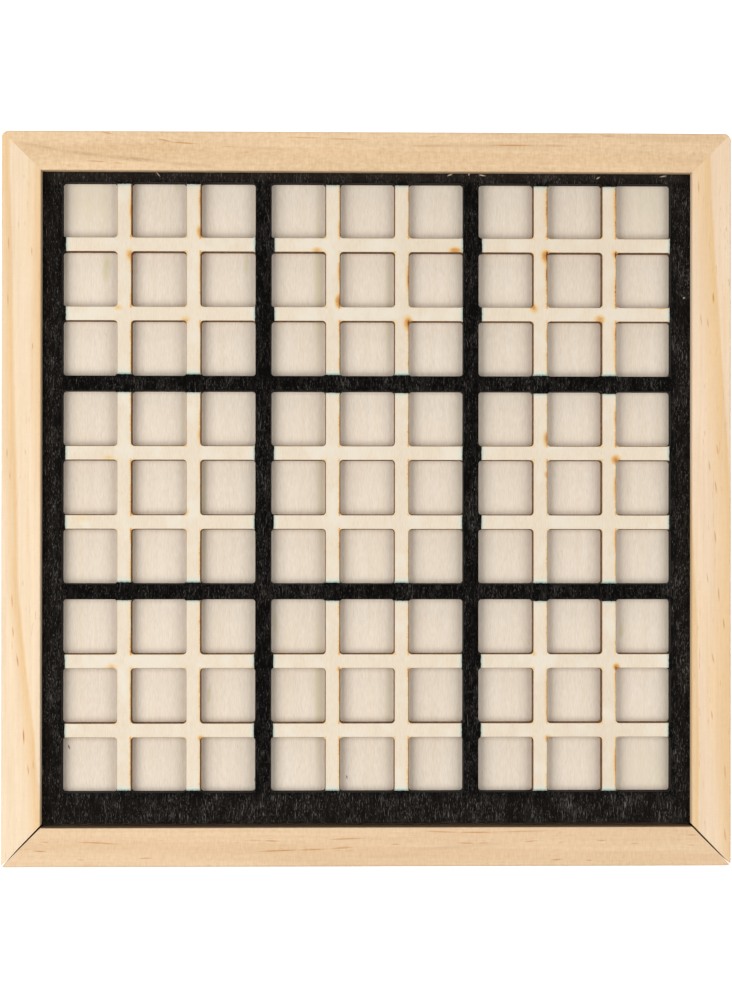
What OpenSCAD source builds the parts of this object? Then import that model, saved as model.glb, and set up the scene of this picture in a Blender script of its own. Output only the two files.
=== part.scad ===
// Wooden sudoku board: a mitred pine frame round a laser-cut grid of 81 cells,
// with a drawer under the playing surface whose front is the frame's front rail.
// Millimetres, +Z up. The origin is at the middle of the underside, and the drawer opens towards -Y.

/* [Cells] */
// Side of one square cell
cell_size = 17.1; // [12:0.1:24]
// Corner radius of a cell, left by the cutting beam
cell_corner_r = 1.1; // [0.3:0.1:3]
// Bar between two cells of a block
bar_w = 4.3; // [2:0.1:8]
// Black line between two blocks
block_line_w = 4.6; // [2:0.1:10]
// How far the black paint laps onto the outer cells of a block
paint_lap = 0.4; // [0.1:0.1:1.5]

/* [Sheets] */
// Thickness of the grid sheet, which is the depth of a cell
grid_t = 3; // [2:0.5:6]
// Thickness of the base sheet under the cells
base_t = 3; // [2:0.5:6]
// Thickness of the bottom sheet of the case
bottom_t = 3; // [2:0.5:6]
// Black border between the cells and the side rails
side_border = 6; // [2:0.05:15]
// Black border between the cells and the back rail
back_border = 3.1; // [1:0.1:15]
// Black border between the cells and the sheet's front edge
front_border = 9.5; // [3:0.1:20]
// Gap between the base sheet and the rails
base_inset = 4; // [1:0.5:8]
// How far the base sheet shows in front of the grid sheet
base_lip = 0.2; // [0:0.05:0.3]

/* [Frame] */
// Width of a rail seen from above
rail_w = 12.2; // [9:0.1:20]
// Height of the board
frame_h = 32; // [28:0.5:60]
// Height of the rails above the grid sheet
rail_rise = 3; // [1:0.1:5]
// Depth of the grooves and rebates that hold the sheets
groove_d = 3; // [2:0.1:5]
// Play of a sheet in its groove
groove_play = 0.1; // [0.05:0.01:0.3]
// Radius of the frame's sanded back corners
corner_r = 2.4; // [0.5:0.1:5]
// Radius of the worn front corners
front_corner_r = 1.5; // [0.3:0.1:4]
// Eased long edges of the rails and of the drawer's sides
edge_r = 0.6; // [0.2:0.1:1.2]

/* [Drawer] */
// Gap in the open front mitres at their inner ends, along the drawer's travel
mitre_gap = 0.8; // [0.3:0.05:3]
// The same gap at the board's corners, where the mitres nearly close
tip_gap = 0.35; // [0.2:0.05:1.5]
// Gap between the drawer front and the sheets
front_gap = 0.8; // [0.3:0.1:2]
// Gap between the drawer's sides and the side rails
side_play = 0.6; // [0.3:0.1:1.5]
// Gap between the drawer and the bottom sheet it runs on
run_play = 0.2; // [0.1:0.05:0.5]
// Gap between the drawer and the base sheet above it
head_play = 0.7; // [0.3:0.1:2]
// Gap between the drawer and the back rail
back_play = 0.5; // [0.3:0.1:2]
// Height of the drawer front above the table
front_lift = 0.5; // [0.2:0.1:1]
// Thickness of the drawer's sides and back
drawer_wall_t = 5; // [4:0.5:8]
// Thickness of the drawer's floor
floor_t = 2.5; // [1.5:0.5:4]
// Height of the drawer's floor above its sides' lower edges
floor_rise = 2; // [1:0.5:3]
// Depth of the grooves that hold the drawer's floor
floor_groove_d = 2.5; // [1.5:0.1:3]

/* [Number tiles] */
// Play of a tile in its cell
tile_play = 1; // [0.5:0.1:3]
// Thickness of a tile
tile_t = 5; // [3:0.5:6]
// Corner radius of a tile
tile_corner_r = 1; // [0.3:0.1:2]
// Gap between two tiles in the drawer
tile_gap = 0.8; // [0.4:0.1:1.5]

/* [Hidden] */
$fn = 32;
// Cuts reach this far past the face that they open
cut = 1;
// A block is this many cells wide, and the board as many blocks
per_block = 3;
per_side = per_block * per_block;

pine = "#d9b886";
bare_plywood = "#dcc7a0";
black_paint = "#1d1c1b";
tile_wood = "#e2cda4";

// Playing surface, square
cell_step = cell_size + bar_w;
block_step = per_block * cell_step + block_line_w - bar_w;
block_span = block_step - block_line_w;
grid_span = (per_block - 1) * block_step + block_span;

// Case and drawer in plan
inner_w = grid_span + 2 * side_border;
inner_d = back_border + grid_span + front_border + front_gap;
outer_w = inner_w + 2 * rail_w;
outer_d = inner_d + 2 * rail_w;
back_y = outer_d / 2;
front_y = -outer_d / 2;
rail_back_y = back_y - rail_w;
drawer_front_y = front_y + rail_w;
sheet_front_y = drawer_front_y + front_gap;
grid_y = sheet_front_y + front_border + grid_span / 2;
case_front_y = front_y + tip_gap;

// Levels
grid_z = frame_h - rail_rise - grid_t;
base_z = grid_z - base_t;
drawer_z = bottom_t + run_play;
drawer_top_z = base_z - head_play;
floor_z = drawer_z + floor_rise;
floor_top_z = floor_z + floor_t;

// Drawer box
box_w = inner_w - 2 * side_play;
box_back_y = rail_back_y - back_play;
box_inner_w = box_w - 2 * drawer_wall_t;

// Tiles
tile_size = cell_size - tile_play;
tile_step = tile_size + tile_gap;

function tile_node(number) = str("number_tiles_", number);

// Middle of cell i along one side of the playing surface
function cell_middle(i) =
    (i % per_block) * cell_step + floor(i / per_block) * block_step + cell_size / 2 - grid_span / 2;

// Middle of block i along one side of the playing surface
function block_middle(i) = (i - (per_block - 1) / 2) * block_step;

// Square with round corners
module soft_square(side, radius) {
    square([side, side - 2 * radius], center = true);
    square([side - 2 * radius, side], center = true);
    for (x = [-1, 1], y = [-1, 1])
        translate([x, y] * (side / 2 - radius)) circle(radius);
}

// Upright strip with eased top edges, standing on the X axis and starting at x = 0
module eased_strip(width, height) {
    square([width, height - edge_r]);
    translate([edge_r, 0]) square([width - 2 * edge_r, height]);
    for (x = [edge_r, width - edge_r])
        translate([x, height - edge_r]) circle(edge_r);
}

// Section of a case rail, with its outer face at x = 0
module case_rail_section() {
    difference() {
        eased_strip(rail_w, frame_h);
        translate([rail_w - groove_d, grid_z - groove_play / 2])
            square([groove_d + cut, grid_t + groove_play]);
        translate([rail_w - groove_d, -cut]) square([groove_d + cut, bottom_t + cut]);
    }
}

// Outline of the board from above, with round corners
module board_outline() {
    translate([-outer_w / 2, front_y + front_corner_r])
        square([outer_w, outer_d - front_corner_r - corner_r]);
    translate([-outer_w / 2 + corner_r, front_y + front_corner_r])
        square([outer_w - 2 * corner_r, outer_d - front_corner_r]);
    translate([-outer_w / 2 + front_corner_r, front_y])
        square([outer_w - 2 * front_corner_r, outer_d - corner_r]);
    for (x = [-1, 1]) {
        translate([x * (outer_w / 2 - corner_r), back_y - corner_r]) circle(corner_r);
        translate([x * (outer_w / 2 - front_corner_r), front_y + front_corner_r]) circle(front_corner_r);
    }
}

// A length of section along +Y, with its outer face towards -X
module along_y(length) {
    rotate([90, 0, 180]) mirror([1, 0, 0]) linear_extrude(length) children();
}

module side_rail() {
    color(pine) intersection() {
        translate([-outer_w / 2, case_front_y, 0]) along_y(outer_d) case_rail_section();
        linear_extrude(frame_h) intersection() {
            board_outline();
            polygon([
                [-outer_w / 2, case_front_y],
                [-outer_w / 2 + rail_w, drawer_front_y + mitre_gap],
                [-outer_w / 2 + rail_w, rail_back_y],
                [-outer_w / 2, back_y]
            ]);
        }
    }
}

module left_rail() {
    side_rail();
}

module right_rail() {
    mirror([1, 0, 0]) side_rail();
}

module back_rail() {
    color(pine) intersection() {
        translate([outer_w / 2, back_y, 0]) rotate([90, 0, -90]) linear_extrude(outer_w) case_rail_section();
        linear_extrude(frame_h) intersection() {
            board_outline();
            polygon([
                [-outer_w / 2, back_y],
                [-outer_w / 2 + rail_w, rail_back_y],
                [outer_w / 2 - rail_w, rail_back_y],
                [outer_w / 2, back_y]
            ]);
        }
    }
}

module all_cells() {
    for (column = [0 : per_side - 1], row = [0 : per_side - 1])
        translate([cell_middle(column), cell_middle(row)]) soft_square(cell_size, cell_corner_r);
}

// The nine bare places that the paint leaves
module bare_blocks() {
    for (column = [0 : per_block - 1], row = [0 : per_block - 1])
        translate([block_middle(column), block_middle(row)])
            square(block_span - 2 * paint_lap, center = true);
}

// Plan of a sheet held in the rails, lapping into their grooves
module held_sheet() {
    lap = groove_d - groove_play;
    translate([-inner_w / 2 - lap, sheet_front_y])
        square([inner_w + 2 * lap, rail_back_y + lap - sheet_front_y]);
}

module grid_panel() {
    color(black_paint) translate([0, 0, grid_z]) linear_extrude(grid_t) difference() {
        held_sheet();
        translate([0, grid_y]) bare_blocks();
        translate([0, grid_y]) all_cells();
    }
    color(bare_plywood) translate([0, grid_y, grid_z]) linear_extrude(grid_t) difference() {
        bare_blocks();
        all_cells();
    }
}

module base_panel() {
    base_front_y = sheet_front_y - base_lip;
    color(bare_plywood) translate([-inner_w / 2 + base_inset, base_front_y, base_z])
        cube([inner_w - 2 * base_inset, rail_back_y - back_play - base_front_y, base_t]);
}

module bottom_panel() {
    color(bare_plywood) linear_extrude(bottom_t) held_sheet();
}

// Groove round the drawer's floor, cut as one block
module floor_groove() {
    translate([
        -box_inner_w / 2 - floor_groove_d,
        drawer_front_y - floor_groove_d,
        floor_z - groove_play / 2
    ])
        cube([box_inner_w + 2 * floor_groove_d, box_back_y - drawer_front_y + 2 * floor_groove_d,
            floor_t + groove_play]);
}

module drawer_front() {
    color(pine) difference() {
        intersection() {
            translate([-outer_w / 2, front_y, front_lift])
                rotate([90, 0, 90]) linear_extrude(outer_w) eased_strip(rail_w, frame_h - front_lift);
            linear_extrude(frame_h) intersection() {
                board_outline();
                polygon([
                    [-outer_w / 2, front_y],
                    [outer_w / 2, front_y],
                    [outer_w / 2 - rail_w, drawer_front_y],
                    [-outer_w / 2 + rail_w, drawer_front_y]
                ]);
            }
        }
        floor_groove();
    }
}

module drawer_side() {
    color(pine) difference() {
        translate([-box_w / 2, drawer_front_y, drawer_z]) along_y(box_back_y - drawer_front_y)
            eased_strip(drawer_wall_t, drawer_top_z - drawer_z);
        floor_groove();
    }
}

module drawer_left_side() {
    drawer_side();
}

module drawer_right_side() {
    mirror([1, 0, 0]) drawer_side();
}

module drawer_back() {
    color(pine) translate([-box_inner_w / 2, box_back_y - drawer_wall_t, floor_top_z])
        rotate([90, 0, 90]) linear_extrude(box_inner_w)
            eased_strip(drawer_wall_t, drawer_top_z - floor_top_z);
}

module drawer_floor() {
    lap = floor_groove_d - groove_play;
    color(bare_plywood) translate([-box_inner_w / 2 - lap, drawer_front_y - lap, floor_z])
        cube([box_inner_w + 2 * lap, box_back_y - drawer_front_y + lap, floor_t]);
}

// One row of tiles with the same number, on the drawer's floor
module number_tiles(number) {
    row_y = drawer_front_y + tile_gap + tile_size / 2 + (number - 1) * tile_step;
    color(tile_wood) for (column = [0 : per_side - 1])
        translate([(column - (per_side - 1) / 2) * tile_step, row_y, floor_top_z])
            linear_extrude(tile_t) soft_square(tile_size, tile_corner_r);
}

back_rail();
left_rail();
right_rail();
grid_panel();
base_panel();
bottom_panel();
drawer_front();
drawer_left_side();
drawer_right_side();
drawer_back();
drawer_floor();
for (number = [1 : per_side])
    number_tiles(number);
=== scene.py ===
"""Looks of the wooden sudoku board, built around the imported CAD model.

The pine rails, the bare sheets and the drawer keep their CAD shapes and get wood made of shader nodes.
The painted grid sheet and the number tiles are rebuilt here, because their cut edges, paint and digits
are seen from close by. Lengths in this script are in millimetres and turn into metres in the meshes.
"""
import math
from collections import namedtuple

import bpy
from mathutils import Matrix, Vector


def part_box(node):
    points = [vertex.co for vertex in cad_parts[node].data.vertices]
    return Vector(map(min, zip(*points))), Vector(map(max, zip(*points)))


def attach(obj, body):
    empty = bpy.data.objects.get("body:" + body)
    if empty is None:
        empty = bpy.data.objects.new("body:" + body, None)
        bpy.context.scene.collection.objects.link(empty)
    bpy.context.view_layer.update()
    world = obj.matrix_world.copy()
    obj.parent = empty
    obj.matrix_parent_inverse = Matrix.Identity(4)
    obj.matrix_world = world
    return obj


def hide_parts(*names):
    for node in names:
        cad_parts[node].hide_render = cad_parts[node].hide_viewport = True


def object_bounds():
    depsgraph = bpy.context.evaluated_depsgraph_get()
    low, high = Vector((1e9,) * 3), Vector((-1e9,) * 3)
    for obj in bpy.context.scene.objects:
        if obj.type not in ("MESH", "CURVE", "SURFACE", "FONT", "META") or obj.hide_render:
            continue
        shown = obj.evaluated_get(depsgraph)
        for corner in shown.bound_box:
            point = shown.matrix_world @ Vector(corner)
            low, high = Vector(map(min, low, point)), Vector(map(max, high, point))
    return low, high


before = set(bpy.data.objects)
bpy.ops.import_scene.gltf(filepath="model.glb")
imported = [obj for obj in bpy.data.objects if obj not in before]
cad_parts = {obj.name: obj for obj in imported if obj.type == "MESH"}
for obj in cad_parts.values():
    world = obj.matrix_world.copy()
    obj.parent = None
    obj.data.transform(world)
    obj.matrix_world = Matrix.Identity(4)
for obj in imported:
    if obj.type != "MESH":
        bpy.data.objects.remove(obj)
cad_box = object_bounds()

MM = 0.001
X, Y, Z = 0, 1, 2

# Cells of the grid sheet, as cut in the solid
CELL = 17.1
CELL_R = 1.1
BAR = 4.3
BLOCK_LINE = 4.6
FRONT_BORDER = 9.5
CELL_STEP = CELL + BAR
BLOCK_STEP = 3 * CELL_STEP + BLOCK_LINE - BAR
GRID_SPAN = 3 * BLOCK_STEP - BLOCK_LINE
CELLS_ACROSS = 9

# What the laser leaves: a burnt top edge and walls that lean in a little towards the bottom
BURNT_EDGE = 0.06
WALL_LEAN = 0.22

# Straight pieces in a rounded corner and in each stretch of a digit's outline
CORNER_STEPS = 6
DIGIT_STEPS = 6

# Paint stencil: bare windows a little smaller than the blocks, set down slightly turned and to the right
WINDOW = (29.22, 29.42)
STENCIL_SHIFT = (0.29, -0.08)
STENCIL_TURN = -0.12
STENCIL_SCALE = 0.9984

# Number tiles in the drawer. The eased edge has a middle point this share of the way down.
TILE_CORNER_R = 1.0
TILE_EASE = 0.35
EASE_MIDDLE = 0.3
DIGIT_SIZE = 11.5
DIGIT_THICKNESS = 0.06

# Camera fitted to the corners of the cells and rails
CAMERA_PLACE = (-12.27, -1.78, 629.0)
CAMERA_TURN = (0.1457, -1.1363, 0.0485)
CAMERA_LENS = 69.69
SENSOR_HEIGHT = 36.0
CAMERA_CLIP = 10.0

# Studio: a floor that glows where the camera sees it, weakly next to the object and fully far away, so that
# next to the object it shows its real shadow together with a painted contact shadow. The glow's stretches
# are distances from the object. Lamps have a place and size in metres and a power.
FLOOR_REACH = 3000.0
FLOOR_DROP = 0.2
FLOOR_PAINT = (0.85, 0.85, 0.85, 1.0)
FLOOR_GLOW = 0.62
GLOW_STARTS = (1.5, 6.0)
GLOW_FILLS = (150.0, 700.0)
WHITE = (1.0, 1.0, 1.0, 1.0)
WORLD_LIGHT = 0.1
LAMP_AIM = (0.0, 0.0, 0.03)
LAMPS = (
    ("lamp_left", (-0.52, -0.09, 0.60), (0.80, 0.55), 4.8),
    ("lamp_right", (0.52, -0.09, 0.60), (0.80, 0.60), 3.27),
    ("lamp_back", (0.0, 1.10, 0.40), (0.90, 0.50), 2.6),
)


def node_box(node):
    """Lowest and highest corner of a CAD node, in millimetres."""
    low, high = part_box(node)
    return [v / MM for v in low], [v / MM for v in high]


SHEET_LOW, SHEET_HIGH = node_box("grid_panel")
GRID_Y = SHEET_LOW[Y] + FRONT_BORDER + GRID_SPAN / 2


def tone(red, green, blue):
    """A colour on the scale of 0 to 255 that screens use, as the linear values that Blender takes."""
    linear = []
    for level in (red / 255, green / 255, blue / 255):
        linear.append(level / 12.92 if level <= 0.04045 else ((level + 0.055) / 1.055) ** 2.4)
    return (*linear, 1.0)


# Heights that marks lie at, how deep a mark reaches, and how much longer it is for its faded ends
RAIL_TOP = node_box("back_rail")[1][Z]
FLOOR_TOP = node_box("base_panel")[1][Z]
SHEET_TOP = SHEET_HIGH[Z]
MARK_DEPTH = 4.0
MARK_LENGTH = 1.25

# Colours of the pine
RESIN = tone(204, 134, 66)
GREY_STAIN = tone(188, 150, 110)
# Dark brown of the painted shade at the top of the rails' inner faces
PAINTED_SHADE = tone(58, 40, 27)
RING_LINE = tone(216, 168, 116)

# Colours of the bare sheets
PORE = tone(176, 150, 118)
WARM_STREAK = tone(230, 208, 164)
VENEER_LINE = tone(204, 174, 134)
SMUDGE = tone(214, 204, 152)
NICK = tone(96, 80, 62)

# Colours of the grid sheet: bars, scorch, paint, what lies on the paint, cut walls
BARE_BAR = tone(243, 227, 204)
BLEACHED_BAR = tone(247, 239, 221)
HEATED_BAR = tone(231, 205, 172)
WEAK_SCORCH = tone(245, 214, 158)
SCORCH = tone(222, 150, 68)
STRONG_SCORCH = tone(124, 68, 28)
PAINT_HAZE = tone(204, 230, 220)
PAINT_RIM = tone(74, 134, 134)
PAINT = tone(7, 6, 5)
WORN_PAINT = tone(66, 60, 56)
PAINT_FLECK = tone(138, 133, 127)
DUST = tone(166, 150, 136)
BACK_DUST = tone(168, 146, 128)
CHIP = tone(226, 206, 178)
CHAR = tone(84, 60, 42)
PALE_CHAR = tone(146, 106, 72)
PAINTED_CHAR = tone(26, 22, 20)

# Colours of the digits
INK = tone(26, 24, 23)
WORN_INK = tone(74, 68, 62)

# Width across the grain and length along it of what shows in the wood and paint
RING_WANDER = (14.0, 60.0)
RING_RIPPLE = (2.5, 14.0)
RING_BOW = (26.0, 110.0)
PINE_PATCH = (5.0, 45.0)
PINE_STREAK = (0.9, 45.0)
PINE_FIBRE = (0.3, 5.0)
SAW_MARK = (0.45, 2.4)
PINE_MOTTLE = (0.9, 1.7)
RESIN_FLECK = (0.42, 5.0)
FLECKED_AREA = (5.0, 40.0)
SHEET_CLOUD = (22.0, 120.0)
SHEET_BAND = (2.2, 40.0)
SHEET_LINE = (0.27, 2.0)
SHEET_PORE = (0.3, 2.4)
SHEET_STREAK = (2.6, 80.0)
VENEER_WAVE = (38.0, 240.0)
SHORT_FLECK = (0.2, 0.9)
LONG_FLECK = (0.22, 2.8)
PAINT_FILM = (0.5, 3.0)
PAINT_WEAR = (0.8, 4.0)
PAINT_RAG = (0.5, 1.2)
SCORCH_RAG = (0.5, 1.3)

# Sizes of cloudy changes that have no grain
BLEACH_CLOUD = (7.0, 9.0, 7.0)
THIN_CLOUD = (6.0, 11.0, 6.0)
HEAT_CLOUD = (5.0, 5.0, 5.0)
SOOT_CLOUD = (1.2, 1.2, 0.8)
INK_CLOUD = (0.4, 1.5, 1.0)

# Year rings: where in a ring its dark edge is, the count that puts a rail's given point just past it, and
# the spacing and strength of the fine rings on the sides
RING_EDGE = 0.94
RING_PHASE = 40.96
FINE_RING = 1.7
FINE_RING_SHOWN = 0.55

# How much shows of the rails' patches and flecks, and of the sheets' pores and streaks
PATCHES_SHOWN = 0.3
RESIN_FLECKS_SHOWN = 0.3
PORES_SHOWN = 0.25
WARM_STREAKS_SHOWN = 0.14

# Lines of the veneer's figure over the whole range of its noise
VENEER_LINES = 15.0

# How much clouds, bands and lines change the bare sheets' brightness, and red, green and blue with it
SHEET_SWINGS = (0.10, 0.08, 0.22)
SHEET_WARMTH = (0.9, 1.05, 1.35)
BARE_SHEET_FIGURE = 1.4

# Painted shade on the top of a rail's inner face: depths below the rail's top at which it ends and is full
SHADE_ENDS = 6.5
SHADE_FULL = 3.5

# Distances past the stencil's edge: the paint's edge, and the haze and rim of paint that crept under it
PAINT_EDGE = (-0.1, 0.12)
PAINT_RAGGED = 0.35
HAZE_STRETCH = (-2.2, -0.1)
RIM_STRETCH = (-0.75, -0.1)

# How much of that shows, how much more at the front of each window, and where in the window its front is
CREPT_SHOWN = 0.32
CREPT_MORE = 0.2
WINDOW_FRONT = (-20.0, -26.0)

# Strips of the painted border, as distances from the middle of the grid
WORN_FRONT = (-94.0, -97.0)
DUSTY_RIM = (93.0, 98.0)
DUSTY_BACK = (94.4, 95.4)

# How much shows of what lies on or wears the paint. The rim has more flecks.
WORN_PAINT_SHOWN = 0.2
FLECKS_SHOWN = 0.37
FLECKS_MORE = 0.14
DUST_SHOWN = 0.012
BACK_DUST_SHOWN = 0.022
CHIPS_SHOWN = 0.9

# How much the bars are bleached in places and heated in the hot corner
BLEACHED_SHOWN = 0.6
HEATED_SHOWN = 0.12

# Heat on the bars: how far it reaches from a cell in mm, and its least value and what is added where the
# burn is strong. Core and halo lie left of a cell and grow towards the hot corner, the rim lies all round.
CORE_REACH = (0.6, 0.0)
CORE_HEAT = (0.2, 0.55)
HALO_REACH = (2.4, -0.4)
HALO_HEAT = (0.16, 0.26)
RIM_REACH = (0.6, 0.0)
RIM_HEAT = (0.08, 0.2)
CORNER_REACH = (-2.2, -0.4)
CORNER_HEAT = 0.3
GROWTH = (0.6, 0.75)
SCORCH_RAGGED = 0.9

# Heat at which each scorch colour begins and is full, and the most of the first two that shows
WEAK_HEAT = (0.0, 0.45)
MIDDLE_HEAT = (0.3, 1.0)
STRONG_HEAT = (0.95, 1.8)
SCORCH_SHOWN = 0.85

# Depth of the grain in the surfaces, and how strongly it is felt
BUMP_DEPTH = 0.03
BUMP_STRENGTH = 0.6

# Where the laser burnt the bars most: centre and radii, then spots as x, y, half length, half width,
# turn in degrees and strength
HOT_CORNER = ((74.0, 78.0, SHEET_TOP), (62.0, 58.0, 50.0))
SCORCH_SPOTS = (
    (55.4, 75.6, 2, 3.4, 0, 0.95),
    (56, 70.5, 1, 5.5, 0, 0.5),
    (55.9, 90, 1.3, 10, 0, 0.3),
    (77.3, 90.5, 1.3, 10, 0, 0.4),
    (51.9, 59.2, 1.8, 2.4, 0, 0.7),
    (72.2, 56, 2.2, 2.2, 0, 0.85),
    (91.5, 59.4, 2.6, 0.6, 0, 0.6),
    (77.1, 76.4, 1.6, 2.2, 0, 0.45),
    (77.3, 47, 1.2, 10, 0, 0.3),
    (-51.9, 83, 1.5, 3, 0, 0.75),
    (-51.7, 91, 1.2, 9, 0, 0.3),
    (-73, 90, 1.2, 10, 0, 0.35),
    (-73.5, 75.6, 1.7, 3.2, 15, 0.75),
    (-77, 59.2, 2, 1.6, 0, 0.5),
    (-56.2, 55.8, 2.2, 1.6, 0, 0.5),
    (77.5, -51.9, 1.4, 1.8, 20, 1.1),
    (77.3, -57, 0.9, 5, 0, 0.4),
    (77.3, -82, 1.1, 10, 0, 0.35),
    (55.9, -61, 1.1, 10, 0, 0.3),
    (56.2, -74, 1.4, 1.8, 0, 0.5),
    (51.9, -47.9, 1.2, 1.4, 0, 0.45),
    (-79, -51.9, 2, 1.6, 0, 0.5),
    (-35.2, -52.2, 1.8, 1.3, 0, 0.45),
    (-51.5, -73.8, 1.5, 1.6, 0, 0.45),
    (-15.6, 77.2, 2.2, 1.6, 0, 0.75),
    (27.4, 77.2, 2.8, 1.9, 0, 1.1),
    (-8.9, 61.4, 1.5, 3.4, 0, 1),
    (-8.8, 70, 0.9, 6, 0, 0.35),
    (-8.7, 84, 0.9, 5, 0, 0.35),
    (12.9, 68.5, 1.3, 8.5, 0, 0.55),
    (12.6, 54.8, 1.9, 3.6, 0, 0.95),
    (12.9, 85, 0.9, 6, 0, 0.35),
    (-51.4, 19.8, 1.4, 3.8, 0, 0.75),
    (-80, 12.9, 2.4, 1.3, 0, 0.45),
    (-55.8, -3.8, 1, 1.8, 0, 0.4),
    (-88.3, -6.2, 4, 2, 0, 0.25),
    (55.7, 18.8, 1.4, 4, 0, 0.75),
    (55.8, 7.8, 1.2, 1.8, 0, 0.6),
    (77.3, 12.4, 2, 2.4, 0, 1.05),
    (77.3, 4, 1.2, 7, 0, 0.5),
    (77.3, -12.5, 1, 5.5, 0, 0.4),
    (77.2, 25.6, 0.9, 5, 0, 0.4),
    (-8.9, -52.4, 0.9, 1.3, 0, 0.4),
    (13, -45.8, 0.8, 1.8, 0, 0.4),
)

# Pale chips and dust on the black paint
PALE_SPECKS = (
    (98.5, 62.7, 0.4, 0.3, 30, 0.9),
    (71.7, 99.9, 0.7, 0.25, 30, 0.8),
    (-64.8, 100.5, 1, 0.22, 130, 0.7),
    (25.6, 100.7, 0.9, 0.3, 20, 0.9),
    (31.5, 100.9, 0.5, 0.3, 80, 0.9),
    (35.6, 100.6, 1.1, 0.28, -10, 0.9),
    (92, 100.5, 1.2, 0.25, 10, 0.8),
)


def put_in_scene(name, data):
    """A new object made of a mesh, curve, lamp or camera."""
    piece = bpy.data.objects.new(name, data)
    bpy.context.scene.collection.objects.link(piece)
    return piece


# Noise lies about this value, and a seed moves it by this much along X, Y and Z
NOISE_MIDDLE = 0.5
SEED_SHIFT = (7.3, 3.1, 5.7)


class Graph:
    """Short calls for the nodes of one material. An input takes a number, a colour, a vector or an output."""

    def __init__(self, name):
        self.material = bpy.data.materials.new(name)
        self.material.use_nodes = True
        self.tree = self.material.node_tree
        self.shader = self.tree.nodes["Principled BSDF"]
        coordinates = self.add("ShaderNodeTexCoord").outputs["Object"]
        self.place = self.vector("SCALE", coordinates, scale=1 / MM)

    def add(self, kind, **settings):
        """A new node of one kind."""
        node = self.tree.nodes.new(kind)
        for key, value in settings.items():
            setattr(node, key, value)
        return node

    def put(self, socket, value):
        """Links an output to a socket, or sets a constant."""
        if isinstance(value, bpy.types.NodeSocket):
            self.tree.links.new(value, socket)
        else:
            socket.default_value = value

    def math(self, operation, *values):
        node = self.add("ShaderNodeMath", operation=operation)
        for socket, value in zip(node.inputs, values):
            self.put(socket, value)
        return node.outputs[0]

    def times(self, first, second):
        return self.math("MULTIPLY", first, second)

    def raised(self, share, least, more):
        """A share from 0 to 1 turned into a value from least to least plus more."""
        return self.math("MULTIPLY_ADD", share, more, least)

    def vector(self, operation, *values, scale=None):
        node = self.add("ShaderNodeVectorMath", operation=operation)
        for socket, value in zip(node.inputs, values):
            self.put(socket, value)
        if scale is not None:
            self.put(node.inputs["Scale"], scale)
        return node.outputs["Value"] if operation in ("LENGTH", "DOT_PRODUCT") else node.outputs["Vector"]

    def split(self, vector):
        """X, Y and Z of a vector."""
        return self.add_linked("ShaderNodeSeparateXYZ", vector).outputs

    def add_linked(self, kind, first, **settings):
        """A new node with its first input set."""
        node = self.add(kind, **settings)
        self.put(node.inputs[0], first)
        return node

    def noise(self, place, detail):
        node = self.add_linked("ShaderNodeTexNoise", place)
        node.inputs["Scale"].default_value = 1.0
        node.inputs["Detail"].default_value = detail
        return node.outputs[0]

    def step(self, value, low, high):
        """0 below low and 1 above high, with a soft change between. High may be the smaller one."""
        node = self.add("ShaderNodeMapRange", interpolation_type="SMOOTHSTEP")
        self.put(node.inputs["Value"], value)
        flipped = low > high
        node.inputs["From Min"].default_value = min(low, high)
        node.inputs["From Max"].default_value = max(low, high)
        node.inputs["To Min"].default_value = 1.0 if flipped else 0.0
        node.inputs["To Max"].default_value = 0.0 if flipped else 1.0
        return node.outputs[0]

    def mix(self, factor, first, second):
        """The first colour at a factor of 0 and the second at 1, through the node's sockets for colours."""
        node = self.add("ShaderNodeMix", data_type="RGBA")
        self.put(node.inputs[0], factor)
        self.put(node.inputs[6], first)
        self.put(node.inputs[7], second)
        return node.outputs[2]

    def tint(self, colour, other, mask, shown):
        """A colour that goes over to another where a mask is 1. Shown is the most of it that shows."""
        return self.mix(self.times(mask, shown), colour, other)

    def grain(self, along, width, length, seed, detail=2.0):
        """Noise with features about as wide and as long as given, lying along one axis."""
        size = [width, width, width]
        size[along] = length
        scaled = self.vector("DIVIDE", self.place, size)
        shift = [seed * v for v in SEED_SHIFT]
        return self.noise(self.vector("ADD", scaled, shift), detail)

    def spot(self, centre, radii, turn=0.0, soft=1.0):
        """1 at the centre of an ellipse about a point, 0 at its rim. Turn is in degrees about the Z axis."""
        node = self.add_linked("ShaderNodeMapping", self.place, vector_type="TEXTURE")
        node.inputs["Location"].default_value = centre
        node.inputs["Rotation"].default_value = (0.0, 0.0, math.radians(turn))
        node.inputs["Scale"].default_value = radii
        return self.step(self.vector("LENGTH", node.outputs[0]), 1.0, 1.0 - soft)

    def marks(self, marks, height, soft=0.8):
        """Strength of the strongest of several long spots at one height at each place."""
        total = None
        for x, y, half_length, half_width, turn, strength in marks:
            radii = (half_length * MARK_LENGTH, half_width, MARK_DEPTH)
            spot = self.times(self.spot((x, y, height), radii, turn, soft), strength)
            total = spot if total is None else self.math("MAXIMUM", total, spot)
        return total

    def sum(self, *values):
        total = values[0]
        for value in values[1:]:
            total = self.math("ADD", total, value)
        return total

    def swing(self, noise, amount):
        """A noise turned into a change of brightness about 0."""
        return self.times(self.math("SUBTRACT", noise, NOISE_MIDDLE), amount)

    def lit(self, colour, swings, warmth):
        """A colour made brighter and darker by the given changes.

        Warmth is how far red, green and blue go along.
        """
        first = colour if isinstance(colour, bpy.types.NodeSocket) else colour[:3]
        change = self.vector("MULTIPLY_ADD", self.sum(*swings), warmth, (1.0, 1.0, 1.0))
        return self.vector("MULTIPLY", first, change)

    def cloud(self, size, detail=2.0):
        """Noise with features of about the given size along X, Y and Z."""
        return self.noise(self.vector("DIVIDE", self.place, size), detail)

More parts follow.
